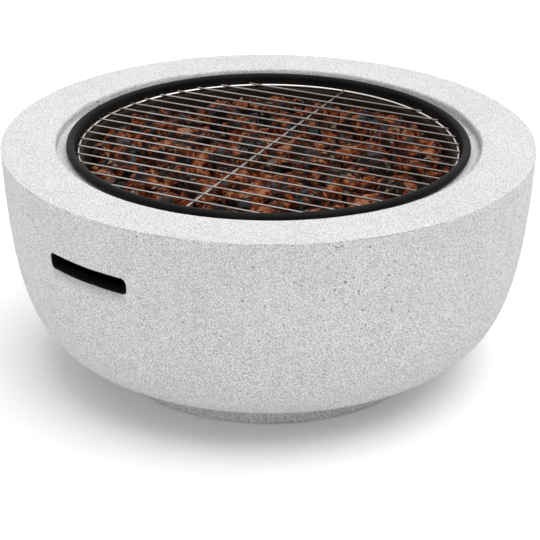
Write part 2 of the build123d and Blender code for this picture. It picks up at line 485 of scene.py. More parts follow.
class Recipe(Nodes):
    """Node tree of one finish, built around a Principled shader on Object coordinates."""

    def __init__(self, name: str) -> None:
        """Start an empty finish.

        Args:
            name: name of the material.
        """
        self.material = bpy.data.materials.new(name)
        self.material.use_nodes = True
        super().__init__(self.material.node_tree)
        self.tree.nodes.clear()
        self.shader = self.node("ShaderNodeBsdfPrincipled")
        self.node("ShaderNodeOutputMaterial", {"Surface": self.shader.outputs["BSDF"]})
        coordinates = self.node("ShaderNodeTexCoord")
        self.place = coordinates.outputs["Object"]
        self.normal = coordinates.outputs["Normal"]

    def surface(self, **inputs: Input) -> None:
        """Set the shader's inputs, with underscores for the spaces in their names."""
        self.feed(self.shader, {key.replace("_", " "): value for key, value in inputs.items()})

    def noise(self, size: float, detail: float = 2.0, place: Socket | None = None) -> Socket:
        """Soft noise around 0, mostly within the span NOISE.

        Args:
            size: width of its patches in metres.
            detail: how many finer layers it has.
            place: coordinates, or the object's own.

        Returns:
            The value.
        """
        inputs = {"Vector": place or self.place, "Scale": 1 / size, "Detail": detail}
        soft = self.node("ShaderNodeTexNoise", inputs).outputs["Fac"]
        return self.combine("SUBTRACT", soft, 0.5)

    def mapped(self, **settings: Place) -> Socket:
        """The object's coordinates, changed by the Scale, Rotation or Location of a Mapping node."""
        return self.node("ShaderNodeMapping", {"Vector": self.place, **settings}).outputs["Vector"]

    def askew(self) -> Socket:
        """The object's coordinates, turned so that no flat face lies along the grid of a noise."""
        return self.mapped(Rotation=(0.5, 0.7, 0.3))

    def warped(self, size: float, reach: float) -> Socket:
        """The object's coordinates, pushed about by noise.

        Args:
            size: width of the noise's patches.
            reach: how far it pushes.

        Returns:
            The coordinates.
        """
        inputs = {"Vector": self.place, "Scale": 1 / size, "Detail": 1.0}
        push = self.node("ShaderNodeTexNoise", inputs).outputs["Color"]
        moved = {0: push, 1: (reach, reach, reach), 2: self.place}
        return self.node("ShaderNodeVectorMath", moved, operation="MULTIPLY_ADD").outputs["Vector"]

    def dot(self, first: Socket, second: Socket | Place) -> Socket:
        """Dot product of two vectors."""
        inputs = {0: first, 1: second}
        return self.node("ShaderNodeVectorMath", inputs, operation="DOT_PRODUCT").outputs["Value"]

    def looks_at(self, height: float) -> Socket:
        """1 on faces that look towards a point of the Z axis at a height, 0 on those that look away."""
        way = self.mapped(Scale=(-1.0, -1.0, -1.0), Location=(0.0, 0.0, height))
        return self.combine("GREATER_THAN", self.dot(self.normal, way), 0.0)

    def radius(self) -> Socket:
        """Distance from the Z axis."""
        inputs = {0: self.mapped(Scale=(1.0, 1.0, 0.0))}
        return self.node("ShaderNodeVectorMath", inputs, operation="LENGTH").outputs["Value"]

    def spots(self, cell: float, radius: float, share: float, place: Socket) -> Socket:
        """Scattered spots.

        Args:
            cell: mean distance between places for a spot.
            radius: radius of a spot.
            share: share of the places that have one.
            place: coordinates.

        Returns:
            1 in a spot and 0 outside.
        """
        cells = self.node("ShaderNodeTexVoronoi", {"Vector": place, "Scale": 1 / cell})
        chance = self.node("ShaderNodeSeparateColor", {"Color": cells.outputs["Color"]})
        chosen = self.combine("LESS_THAN", chance.outputs["Red"], share)
        edge = radius / cell
        inside = self.remap(cells.outputs["Distance"], (SPOT_CORE * edge, edge), FALL)
        return self.combine("MULTIPLY", chosen, inside)

    def remap(self, value: Input, old: Point2, new: Point2) -> Socket:
        """A value moved from an old range to a new one and kept within it."""
        ends = {"From Min": old[0], "From Max": old[1], "To Min": new[0], "To Max": new[1]}
        return self.node("ShaderNodeMapRange", {"Value": value, **ends}).outputs["Result"]

    def blend(self, factor: Input, first: Input, second: Input) -> Socket:
        """Colour between a first and a second one."""
        inputs = {0: factor, 6: first, 7: second}
        return self.node("ShaderNodeMix", inputs, data_type="RGBA").outputs[2]

    def ramp(self, value: Input, stops: Sequence[tuple[float, Colour]]) -> Socket:
        """Colour read off a ramp at a value.

        Args:
            value: place on the ramp, from 0 to 1.
            stops: place and colour of each stop, in order.

        Returns:
            The colour.
        """
        made = self.node("ShaderNodeValToRGB", {"Fac": value})
        stock = made.color_ramp.elements
        stock[0].position, stock[0].color = stops[0]
        stock[1].position, stock[1].color = stops[-1]
        for position, colour in stops[1:-1]:
            stock.new(position).color = colour
        return made.outputs["Color"]

    def axis(self, letter: str) -> Socket:
        """One of the object's coordinates, X, Y or Z."""
        return self.node("ShaderNodeSeparateXYZ", {"Vector": self.place}).outputs[letter]

    def relief(self, height: Socket, depth: float, strength: float) -> None:
        """Bump of a depth in metres from a height."""
        inputs = {"Height": height, "Distance": depth, "Strength": strength}
        self.surface(Normal=self.node("ShaderNodeBump", inputs).outputs["Normal"])


@dataclass(frozen=True)
class CastStone:
    """Pale cast stone: salt and pepper grain, faint runs, pores, soot and a thin dark line under the
    edge, with painted shadow under the slots, painted shade high on the side and in the recess, and
    painted light near the foot.
    """

    dark: Colour = (0.45, 0.45, 0.455, 1.0)
    middle: Colour = (0.78, 0.78, 0.78, 1.0)
    pale: Colour = (0.985, 0.985, 0.98, 1.0)
    pore: Colour = (0.06, 0.06, 0.06, 1.0)
    # Dark colour of the painted shadow under the slots, of the soot and painted shade in the recess and
    # of the line under the edge
    grime_and_shade: Colour = (0.30, 0.30, 0.30, 1.0)
    roughness: Point2 = (0.78, 0.95)
    gloss: float = 0.25
    relief: float = 0.6 * MM
    relief_strength: float = 0.5
    foot_level: float = 0.03
    belly_level: float = 0.13
    slot_level: float = 0.2175
    recess_low: float = 0.285
    top_level: float = 0.3005
    top_band: Point2 = (0 * MM, 1 * MM)
    recess_high: float = 0.3012
    edge_level: float = 0.302
    salt: float = 1.2 * MM
    salt_weight: float = 3.5
    grain: float = 2.3 * MM
    grain_weight: float = 1.1
    side_contrast: Point2 = (3.0, 0.92)
    top_contrast: float = 1.08
    cloud: float = 130 * MM
    cloud_weight: float = 0.25
    run_width: float = 14 * MM
    run_stretch: float = 0.12
    run_weight: float = 0.22
    # Painted shade: the upper part of the side is darker
    upper_shade: float = -0.10
    # Painted light: the stone near the foot is lighter, against the shade under the belly
    foot_painted_light: float = 0.12
    pore_cell: float = 9 * MM
    pore_radius: float = 1.5 * MM
    pore_share: float = 0.7
    pit_cell: float = 20 * MM
    pit_radius: float = 2.1 * MM
    pit_share: float = 0.45
    pit_warp: float = 5 * MM
    pit_reach: float = 5 * MM
    pore_depth: float = -1.6
    pores_on_top_and_side: Point2 = (0.1, 0.9)
    pores_below_and_above: Point2 = (0.2, 1.0)
    pores_between_and_in_patches: Point2 = (0.3, 1.0)
    patch_edge: Point2 = (-0.14, 0.04)
    slot_reach: float = 0.062
    # Painted shadow under the slots
    slot_radius: float = 0.248
    slot_shade_low: Point2 = (-17 * MM, -3 * MM)
    slot_shade_high: Point2 = (0 * MM, 8 * MM)
    slot_shade_ends: Point2 = (-8 * MM, 0 * MM)
    slot_shade_size: float = 12 * MM
    slot_shade_base: float = 0.62
    slot_shade_weight: float = 0.9
    recess_radius: float = 0.2735
    # Soot and painted shade in the recess
    soot_and_shade_top: Point2 = (-4 * MM, 0 * MM)
    soot_and_shade_patch: float = 30 * MM
    soot_and_shade_crumb: float = 3 * MM
    soot_and_shade_weight: float = 0.7
    # Thin broken dark line just under the outer edge
    edge_line_low: Point2 = (-2.4 * MM, -1.4 * MM)
    edge_line_high: Point2 = (-0.6 * MM, 0 * MM)
    edge_line_patch: float = 70 * MM
    edge_line_crumb: float = 3 * MM
    edge_line_crumb_weight: float = 0.6
    edge_line_breaks: Point2 = (-0.02, 0.12)
    edge_line_strength: Point2 = (0.0, 0.5)

    def material(self) -> Material:
        """Build the finish.

        Returns:
            The material.
        """
        made = Recipe("cast_stone")
        level = made.axis("Z")
        side = made.remap(level, shifted(self.top_band, self.top_level), FALL)
        upper = made.remap(level, (self.belly_level, self.slot_level), self.pores_below_and_above)
        askew = made.askew()
        salt = made.noise(self.salt, detail=1.0, place=askew)
        grain = made.noise(self.grain, detail=3.0, place=askew)
        speckle = made.added(0.0, (salt, self.salt_weight), (grain, self.grain_weight))
        rough = made.remap(level, (self.foot_level, self.slot_level), self.side_contrast)
        more = made.combine("SUBTRACT", rough, self.top_contrast)
        contrast = made.added(self.top_contrast, (side, more))
        lower = made.remap(level, (self.foot_level, self.belly_level), FALL)
        runs = made.noise(self.run_width, place=made.mapped(Scale=(1.0, 1.0, self.run_stretch)))
        tone = made.added(
            0.5,
            (made.noise(self.cloud, detail=3.0), self.cloud_weight),
            (made.product(runs, side), self.run_weight),
            # Painted shade high on the side
            (made.product(upper, side), self.upper_shade),
            # Painted light near the foot
            (lower, self.foot_painted_light),
            (speckle, contrast),
        )
        stops = [(0.0, self.dark), (0.5, self.middle), (1.0, self.pale)]
        # Painted shadow under the slots, soot with painted shade in the recess, and the dark line under
        # the edge
        dirt_and_shade = made.most(self.slot_shade(made), self.soot_and_shade(made), self.grain_and_edge_line(made))
        colour = made.blend(dirt_and_shade, made.ramp(tone, stops), self.grime_and_shade)
        pores = self.pores(made, side, upper)
        made.surface(Base_Color=made.blend(pores, colour, self.pore), Specular_IOR_Level=self.gloss)
        made.surface(Roughness=made.remap(salt, NOISE, self.roughness))
        made.relief(made.added(tone, (pores, self.pore_depth)), self.relief, self.relief_strength)
        return made.material

    def pores(self, made: Recipe, side: Socket, upper: Socket) -> Socket:
        """Small pores and larger pits, in patches and mostly high on the side.

        Args:
            made: the finish.
            side: 0 on the flat top and 1 below it.
            upper: share of the pores that show at a level.

        Returns:
            1 in a pore and 0 outside.
        """
        bent = made.warped(self.pit_warp, self.pit_reach)
        small = made.spots(self.pore_cell, self.pore_radius, self.pore_share, bent)
        large = made.spots(self.pit_cell, self.pit_radius, self.pit_share, bent)
        shown = made.remap(side, RISE, self.pores_on_top_and_side)
        patches = made.noise(self.cloud, detail=1.0)
        patchy = made.remap(patches, self.patch_edge, self.pores_between_and_in_patches)
        return made.product(made.most(small, large), shown, patchy, upper)

    def slot_shade(self, made: Recipe) -> Socket:
        """Painted shadow: a soft dark band under the slots.

        Args:
            made: the finish.

        Returns:
            The strength, from 0 to about 0.8.
        """
        level = made.axis("Z")
        across = made.combine("ABSOLUTE", made.axis("Y"))
        outwards = made.combine("ABSOLUTE", made.axis("X"))
        low = made.remap(level, shifted(self.slot_shade_low, self.slot_level), RISE)
        high = made.remap(level, shifted(self.slot_shade_high, self.slot_level), FALL)
        reach = made.remap(across, shifted(self.slot_shade_ends, self.slot_reach), FALL)
        at_slot = made.combine("GREATER_THAN", outwards, self.slot_radius)
        uneven = made.added(self.slot_shade_base, (made.noise(self.slot_shade_size), self.slot_shade_weight))
        return made.product(low, high, reach, at_slot, uneven)

    def soot_and_shade(self, made: Recipe) -> Socket:
        """Uneven soot and painted shade on the wall and the ledge of the recess.

        Args:
            made: the finish.

        Returns:
            The strength, from 0 to about 0.3.
        """
        level = made.axis("Z")
        inside = made.combine("LESS_THAN", made.radius(), self.recess_radius)
        above = made.combine("GREATER_THAN", level, self.recess_low)
        below = made.remap(level, shifted(self.soot_and_shade_top, self.recess_high), FALL)
        patches, crumbs = made.noise(self.soot_and_shade_patch, detail=4.0), made.noise(self.soot_and_shade_crumb)
        uneven = made.added(0.0, (patches, self.soot_and_shade_weight), (crumbs, self.soot_and_shade_weight))
        return made.most(made.product(inside, above, below, uneven), 0.0)

    def grain_and_edge_line(self, made: Recipe) -> Socket:
        """Thin broken dark line just under the outer edge.

        Args:
            made: the finish.

        Returns:
            The strength, from 0 to about 0.5.
        """
        level = made.axis("Z")
        low = made.remap(level, shifted(self.edge_line_low, self.edge_level), RISE)
        high = made.remap(level, shifted(self.edge_line_high, self.edge_level), FALL)
        crumbs = (made.noise(self.edge_line_crumb), self.edge_line_crumb_weight)
        broken = made.added(made.noise(self.edge_line_patch), crumbs)
        return made.product(low, high, made.remap(broken, self.edge_line_breaks, self.edge_line_strength))


@dataclass(frozen=True)
class SlotShadeCoat:
    """Painted shade: matt near-black on the walls of the hand slots, so that the openings look dark all
    through.
    """

    grain: float = 1.5 * MM
    relief: float = 0.2 * MM
    relief_strength: float = 0.5
    roughness: Point2 = (0.75, 0.95)
    gloss: float = 0.1
    colour: Colour = (0.004, 0.004, 0.004, 1.0)
    grain_and_edge_line: Colour = (0.008, 0.008, 0.008, 1.0)

    def material(self) -> Material:
        """Build the finish.

        Returns:
            The material.
        """
        made = Recipe("slot_shade_coat")
        grain = made.noise(self.grain)
        grain_and_edge_line = made.remap(grain, NOISE, RISE)
        made.surface(Base_Color=made.blend(grain_and_edge_line, self.colour, self.grain_and_edge_line))
        made.surface(Roughness=made.remap(grain, NOISE, self.roughness), Specular_IOR_Level=self.gloss)
        made.relief(grain, self.relief, self.relief_strength)
        return made.material


@dataclass(frozen=True)
class SatinEnamel:
    """Satin black enamel with a faint orange peel, sooty, with painted warm light from the embers on
    the inner wall and ash on the floor.
    """

    peel: float = 2.2 * MM
    relief: float = 0.12 * MM
    relief_strength: float = 0.35
    roughness: Point2 = (0.42, 0.56)
    gloss: float = 0.07
    stain: float = 60 * MM
    stain_edge: Point2 = (-0.1, 0.15)
    ash_low: float = 0.184
    ash_high: float = 0.205
    ash_edge: Point2 = (-0.08, 0.1)
    ash_cover: Point2 = (0.0, 0.8)
    rim_level: float = 0.294
    ember_light_top: Point2 = (-8 * MM, 0 * MM)
    ember_light_cover: Point2 = (0.9, 0.0)
    mouth_level: float = 0.31
    black: Colour = (0.005, 0.005, 0.0052, 1.0)
    soot: Colour = (0.010, 0.0095, 0.009, 1.0)
    # Painted light: the warm glow of the embers on the inner wall
    ember_light: Colour = (0.020, 0.0115, 0.0080, 1.0)
    ash: Colour = (0.20, 0.19, 0.18, 1.0)

    def material(self) -> Material:
        """Build the finish.

        Returns:
            The material.
        """
        made = Recipe("bowl_enamel")
        level = made.axis("Z")
        inside = made.looks_at(self.mouth_level)
        stain = made.noise(self.stain, detail=4.0)
        soot_and_shade = made.blend(made.remap(stain, self.stain_edge, RISE), self.black, self.soot)
        # Painted light from the embers on the inner wall below the rim
        ember_lit = made.remap(level, shifted(self.ember_light_top, self.rim_level), self.ember_light_cover)
        colour = made.blend(made.product(ember_lit, inside), soot_and_shade, self.ember_light)
        low = made.remap(level, (self.ash_low, self.ash_high), FALL)
        dust = made.product(low, inside, made.remap(stain, self.ash_edge, self.ash_cover))
        made.surface(Base_Color=made.blend(dust, colour, self.ash))
        made.surface(Roughness=made.remap(stain, NOISE, self.roughness), Specular_IOR_Level=self.gloss)
        made.relief(made.noise(self.peel, detail=1.0), self.relief, self.relief_strength)
        return made.material


@dataclass(frozen=True)
class ChromeWire:
    """Bright plated wire with fine drawing marks and a little heat tint, and painted shade darkening
    one side.
    """

    name: str = "chrome_wire"
    mark: float = 0.6 * MM
    relief: float = 0.05 * MM
    relief_strength: float = 0.3
    roughness: Point2 = (0.2, 0.34)
    tint_size: float = 45 * MM
    tint_edge: Point2 = (-0.05, 0.2)
    tint_cover: Point2 = (0.0, 0.8)
    # Painted shade: the wires darken towards +X and -Y
    side_shade_way: Place = (0.64, -0.77, 0.0)
    side_shade_run: Point2 = (-0.16, 0.16)
    bright: Colour = (0.50, 0.49, 0.48, 1.0)
    tinted: Colour = (0.31, 0.27, 0.23, 1.0)
    # Colour of the painted shade on one side
    stained: Colour = (0.185, 0.165, 0.155, 1.0)
    # Painted highlight: the brighter colour of the ring
    lit_tone: Colour = (0.68, 0.67, 0.66, 1.0)

    @classmethod
    def for_hoop(cls) -> "ChromeWire":
        """Painted highlight: the brighter finish of the ring, without the painted shade on one side."""
        return cls("chrome_hoop", bright=cls.lit_tone, stained=cls.lit_tone)

    def material(self) -> Material:
        """Build the finish.

        Returns:
            The material.
        """
        made = Recipe(self.name)
        tint = made.remap(made.noise(self.tint_size, detail=3.0), self.tint_edge, self.tint_cover)
        lit_tone = made.blend(tint, self.bright, self.tinted)
        # Painted shade on one side of the wires
        stain = made.remap(made.dot(made.place, self.side_shade_way), self.side_shade_run, RISE)
        marks = made.noise(self.mark)
        made.surface(Base_Color=made.blend(stain, lit_tone, self.stained), Metallic=1.0)
        made.surface(Roughness=made.remap(marks, NOISE, self.roughness))
        made.relief(marks, self.relief, self.relief_strength)
        return made.material


@dataclass(frozen=True)
class HeatedSteel:
    """Steel wire darkened by the fire, with scale and a little rust."""

    scale_size: float = 6 * MM
    scale_edge: Point2 = (-0.1, 0.1)
    relief: float = 0.2 * MM
    relief_strength: float = 0.6
    roughness: Point2 = (0.5, 0.8)
    metal: float = 0.55
    rust_size: float = 30 * MM
    rust_edge: Point2 = (0.02, 0.16)
    steel: Colour = (0.10, 0.095, 0.09, 1.0)
    scale: Colour = (0.035, 0.033, 0.032, 1.0)
    rust: Colour = (0.16, 0.07, 0.035, 1.0)

    def material(self) -> Material:
        """Build the finish.

        Returns:
            The material.
        """
        made = Recipe("heat_steel")
        scale = made.noise(self.scale_size, detail=4.0)
        rust = made.remap(made.noise(self.rust_size, detail=4.0), self.rust_edge, RISE)
        colour = made.blend(made.remap(scale, self.scale_edge, RISE), self.steel, self.scale)
        made.surface(Base_Color=made.blend(rust, colour, self.rust), Metallic=self.metal)
        made.surface(Roughness=made.remap(scale, NOISE, self.roughness))
        made.relief(scale, self.relief, self.relief_strength)
        return made.material


@dataclass(frozen=True)
class Embers:
    """Charcoal that is alight: black faces, orange patches with their glow painted into the colour, a
    dull red glow, ash and cool faces.
    """

    patch: float = 22 * MM
    crumb: float = 6 * MM
    crumb_weight: float = 0.6
    heat_span: Point2 = (-0.22, 0.22)
    ash_size: float = 17 * MM
    ash_crumb_weight: float = 0.4
    ash_edge: Point2 = (0.11, 0.20)
    ash_cover: Point2 = (0.0, 0.8)
    cool_edge: Point2 = (-0.085, -0.15)
    cool_cover: Point2 = (0.0, 0.9)
    relief: float = 2.0 * MM
    relief_strength: float = 0.8
    roughness: float = 0.92
    gloss: float = 0.05
    ash: Colour = (0.27, 0.21, 0.145, 1.0)
    cool: Colour = (0.043, 0.062, 0.069, 1.0)
    # Painted light: the red and orange stops paint the glow of the hot patches into the base colour
    faces: tuple[tuple[float, Colour], ...] = (
        (0.37, (0.012, 0.0090, 0.0085, 1.0)),
        (0.48, (0.036, 0.0080, 0.0035, 1.0)),
        (0.62, (0.090, 0.022, 0.0080, 1.0)),
        (0.78, (0.20, 0.055, 0.019, 1.0)),
        (1.0, (0.30, 0.16, 0.085, 1.0)),
    )
    glow: tuple[tuple[float, Colour], ...] = (
        (0.40, (0.0, 0.0, 0.0, 1.0)),
        (0.56, (0.014, 0.0018, 0.0004, 1.0)),
        (0.85, (0.060, 0.012, 0.003, 1.0)),
    )

    def material(self) -> Material:
        """Build the finish.

        Returns:
            The material.
        """
        made = Recipe("embers")
        crumb = made.noise(self.crumb, detail=5.0)
        heat = made.added(made.noise(self.patch, detail=5.0), (crumb, self.crumb_weight))
        hot = made.remap(heat, self.heat_span, RISE)
        pale = made.added(made.noise(self.ash_size, detail=4.0), (crumb, self.ash_crumb_weight))
        ashy = made.remap(pale, self.ash_edge, self.ash_cover)
        bluish = made.remap(pale, self.cool_edge, self.cool_cover)
        # Painted glow in the base colour of the hot patches
        colour = made.blend(bluish, made.ramp(hot, self.faces), self.cool)
        made.surface(Base_Color=made.blend(ashy, colour, self.ash), Roughness=self.roughness)
        made.surface(Specular_IOR_Level=self.gloss)
        made.surface(Emission_Color=made.ramp(hot, self.glow), Emission_Strength=1.0)
        made.relief(crumb, self.relief, self.relief_strength)
        return made.material


@dataclass(frozen=True)
class FibrePad:
    """Dark pressed fibre."""

    fibre: float = 0.9 * MM
    relief: float = 0.3 * MM
    relief_strength: float = 0.8
    roughness: float = 0.95
    dark: Colour = (0.018, 0.018, 0.018, 1.0)
    pale: Colour = (0.075, 0.072, 0.068, 1.0)

    def material(self) -> Material:
        """Build the finish.

        Returns:
            The material.
        """
        made = Recipe("fibre_pad")
        fibre = made.noise(self.fibre, detail=4.0)
        colour = made.blend(made.remap(fibre, NOISE, RISE), self.dark, self.pale)
        made.surface(Base_Color=colour, Roughness=self.roughness)
        made.relief(fibre, self.relief, self.relief_strength)
        return made.material


# Shell


@dataclass
class Shell:
    """Hollow casting with its recess and hand slots, the foot ring and the three pads."""

    stone: Material
    # Near-black painted shade for the walls of the hand slots
    shade_coat: Material
    fibre: Material
    steps: int = 300
    rim_radius: float = 340 * MM
    draft: float = math.radians(2.0)
    side_run: float = 202 * MM
    side_steps: int = 64
    base_radius: float = 218 * MM
    belly_reach: float = 87 * MM
    wall: float = 16 * MM
    inner_steps: int = 24
    floor_steps: int = 12
    ledge_thickness: float = 16 * MM
    ledge_steps: int = 3
    ceiling_steps: int = 5
    recess_depth: float = 12 * MM
    recess_radius: float = 270.5 * MM
    mouth_radius: float = 250 * MM
    drain_radius: float = 12 * MM
    top_steps: int = 9
    top_edge: float = 1.2 * MM
    top_edge_steps: int = 5
    top_edge_share: float = 0.012
    recess_edge: float = 4 * MM
    recess_edge_steps: int = 4
    soft_edge: float = 1.5 * MM
    soft_steps: int = 3
    slot_length: float = 120 * MM
    slot_cuts: int = 36
    slot_height: float = 17 * MM
    slot_corner: float = 6 * MM
    slot_corner_steps: int = 6
    slot_lip: float = 2 * MM
    slot_lip_steps: int = 4
    slot_drop: float = 76 * MM
    cut_inwards: float = 48 * MM
    cut_outwards: float = 32 * MM
    foot_wall: float = 40 * MM
    foot_edge: float = 3 * MM
    foot_edge_steps: int = 5
    foot_flat_steps: int = 6
    foot_side_steps: int = 8
    pad_count: int = 3
    pad_length: float = 15 * MM
    pad_width: float = 14 * MM
    pad_edge: float = 0.3 * MM
    pad_edge_steps: int = 3
    pad_cuts: int = 2
    pad_crease: float = 40.0
    unevenness: float = 0.5 * MM
    unevenness_size: float = 35 * MM
    unevenness_layers: int = 3
    halvings: int = 40

    def __post_init__(self) -> None:
        """Read the levels off the solids."""
        low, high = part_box("cast_body")
        self.underside = low.z
        self.top = high.z
        self.slot_z = self.top - self.slot_drop
        lean = math.tan(self.draft)
        self.outer = (
            (self.rim_radius, self.top),
            (self.rim_radius - self.side_run * lean, self.top - self.side_run),
            (self.base_radius + self.belly_reach, self.underside),
            (self.base_radius, self.underside),
        )

    def side_radius(self, height: float) -> float:
        """Radius of the outside, found by halving the curve of the side.

        Args:
            height: a level on the upper side.

        Returns:
            The radius there.
        """
        low, high = 0.0, 1.0
        for _ in range(self.halvings):
            middle = (low + high) / 2
            if bezier(self.outer, middle)[1] > height:
                low = middle
            else:
                high = middle
        return bezier(self.outer, low)[0]

    def section(self) -> list[Point2]:
        """Closed section of the casting, from the flat top round the outside.

        Returns:
            The points, as radius and height.
        """
        top, edge, soft, turns = self.top, self.top_edge, self.soft_edge, self.soft_steps
        ledge = top - self.recess_depth
        ceiling = ledge - self.ledge_thickness
        floor = self.underside + self.wall
        lean = math.tan(self.draft)
        inner = (
            (self.base_radius, floor),
            (self.base_radius + self.belly_reach - self.wall / 2, floor),
            (self.outer[1][0] - self.wall, self.outer[1][1]),
            (self.rim_radius - self.wall - (top - ceiling) * lean, ceiling),
        )
        shares = [step / self.side_steps for step in range(self.side_steps + 1)]
        inner_shares = [step / self.inner_steps for step in range(1, self.inner_steps + 1)]
        recess = self.recess_radius + self.recess_edge
        mouth, corner = self.mouth_radius + soft, self.recess_radius - soft
        points = line((recess, top), (self.rim_radius - edge, top), self.top_steps)
        points += arc((self.rim_radius - edge, top - edge), edge, 90, 0, self.top_edge_steps)[1:]
        points += [bezier(self.outer, share) for share in shares if share > self.top_edge_share]
        points += line(self.outer[-1], (self.drain_radius, self.underside), self.floor_steps)[1:]
        points += line((self.drain_radius, floor), inner[0], self.floor_steps)
        points += [bezier(inner, share) for share in inner_shares]
        points += line(inner[-1], (mouth, ceiling), self.ceiling_steps)[1:]
        points += arc((mouth, ceiling + soft), soft, 270, 180, turns)[1:]
        points += arc((mouth, ledge - soft), soft, 180, 90, turns)
        points += line((mouth, ledge), (corner, ledge), self.ledge_steps)[1:]
        points += arc((corner, ledge + soft), soft, 270, 360, turns)[1:]
        lip = (recess, top - self.recess_edge)
        points += arc(lip, self.recess_edge, 180, 90, self.recess_edge_steps)[:-1]
        return points

    def on_side(self, across: float, up: float, depth: float) -> Vector:
        """Place under the outside of the casting, seen from +X and measured from a slot's middle."""
        radius = self.side_radius(self.slot_z + up)
        return Vector((math.sqrt(radius**2 - across**2) - depth, across, up))

    def slot_cutter(self, side: int) -> Piece:
        """Block of the shape of a hand slot, flared at its mouth.

        Args:
            side: -1 for the slot at -X and 1 for the one at +X.

        Returns:
            The block, with the slot's near-black painted shade as its finish.
        """
        half_long, half_high = self.slot_length / 2, self.slot_height / 2
        lip, steps = self.slot_lip, self.slot_lip_steps
        block = primitive(bpy.ops.mesh.primitive_plane_add, size=1)
        block.data.materials.append(self.shade_coat)
        quarter = [math.radians(90 * step / steps) for step in range(steps + 1)]
        rings = [(lip * (1 - math.sin(a)), lip * (1 - math.cos(a))) for a in quarter]
        rings = [(self.cut_inwards, 0.0), *rings, (-self.cut_outwards, lip)]
        with editing(block):
            reshape(block, lambda co: Vector((0, co.x * 2 * half_long, co.y * 2 * half_high)))
            corners = {"offset": self.slot_corner, "segments": self.slot_corner_steps}
            bpy.ops.mesh.bevel(**corners, affect="VERTICES")
            pick(block, lambda co: abs(co.y) < half_long - self.slot_corner + NEAR)
            bpy.ops.mesh.subdivide(number_cuts=self.slot_cuts)
            bpy.ops.mesh.select_all(action="SELECT")
            flat_y, flat_z = 1.0, 1.0
            for number, (depth, flare) in enumerate(rings):
                if number:
                    bpy.ops.mesh.extrude_region_move()
                wide_y, wide_z = 1 + flare / half_long, 1 + flare / half_high
                grow_y, grow_z = wide_y / flat_y, wide_z / flat_z
                flat_y, flat_z = wide_y, wide_z
                reshape(block, lambda co: self.on_side(co.y * grow_y, co.z * grow_z, depth))
            bpy.ops.mesh.select_all(action="SELECT")
            bpy.ops.mesh.normals_make_consistent(inside=False)
        settle(block, Matrix.Translation((0, 0, self.slot_z)) @ Matrix.Scale(side, 4, (1, 0, 0)))
        with editing(block):
            bpy.ops.mesh.normals_make_consistent(inside=False)
        return block

    def casting(self) -> Piece:
        """Turn the casting, roughen it a little and cut the slots.

        Returns:
            The finished casting.
        """
        body = lathe(self.section(), self.steps, closed=True)
        body.data.materials.append(self.stone)
        roughen(body, self.unevenness_size, self.unevenness, self.unevenness_layers)
        for side in (-1, 1):
            cutter = self.slot_cutter(side)
            # The cut walls of the slots take the cutter's near-black painted shade
            settings = {"operation": "DIFFERENCE", "solver": "EXACT", "material_mode": "TRANSFER"}
            apply_modifier(body, "BOOLEAN", object=cutter, **settings)
            discard(cutter)
        smooth(body, CREASE)
        return hand_over(body, "casting", Body.SHELL, ["cast_body"])

    def foot(self) -> Piece:
        """Turn the foot ring.

        Returns:
            The finished ring.
        """
        low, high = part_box("foot_ring")
        outside, inside = high.x, high.x - self.foot_wall
        edge, soft, turns = self.foot_edge, self.soft_edge, self.soft_steps
        flat, side = self.foot_flat_steps, self.foot_side_steps
        points = line((inside + soft, high.z), (outside - soft, high.z), flat)
        points += arc((outside - soft, high.z - soft), soft, 90, 0, turns)[1:]
        points += line((outside, high.z - soft), (outside, low.z + edge), side)[1:]
        points += arc((outside - edge, low.z + edge), edge, 0, -90, self.foot_edge_steps)[1:]
        points += line((outside - edge, low.z), (inside + soft, low.z), flat)[1:]
        points += arc((inside + soft, low.z + soft), soft, -90, -180, turns)[1:]
        points += line((inside, low.z + soft), (inside, high.z - soft), side)[1:]
        points += arc((inside + soft, high.z - soft), soft, 180, 90, turns)[1:-1]
        foot = dress(lathe(points, self.steps, closed=True), self.stone)
        return hand_over(foot, "foot", Body.SHELL, ["foot_ring"])

    def pad_pattern(self, thickness: float) -> Piece:
        """A flat fibre pad with crushed edges.

        Args:
            thickness: thickness of the pad.

        Returns:
            The pad, at the origin.
        """
        pad = primitive(bpy.ops.mesh.primitive_cube_add, size=1)
        settle(pad, Matrix.Diagonal((self.pad_length, self.pad_width, thickness, 1)))
        with editing(pad):
            bpy.ops.mesh.bevel(offset=self.pad_edge, segments=self.pad_edge_steps, affect="EDGES")
            bpy.ops.mesh.subdivide(number_cuts=self.pad_cuts)
        return dress(pad, self.fibre, self.pad_crease)

    def pads(self) -> None:
        """Lay a copy of the pad on each of its places on the ledge."""
        low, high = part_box("rim_spacer_01")
        pattern = self.pad_pattern(high.z - low.z)
        for number in range(1, self.pad_count + 1):
            node = f"rim_spacer_{number:02d}"
            low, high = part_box(node)
            middle = (low + high) / 2
            heading = math.atan2(middle.y, middle.x)
            place = Matrix.Translation(middle) @ Matrix.Rotation(heading, 4, "Z")
            pad = settle(copy_of(pattern), place)
            hand_over(pad, f"pad_{number:02d}", Body.SHELL, [node])
        discard(pattern)

    def build(self) -> None:
        """Build all the pieces of the shell."""
        self.casting()
        self.foot()
        self.pads()


# Fire bowl


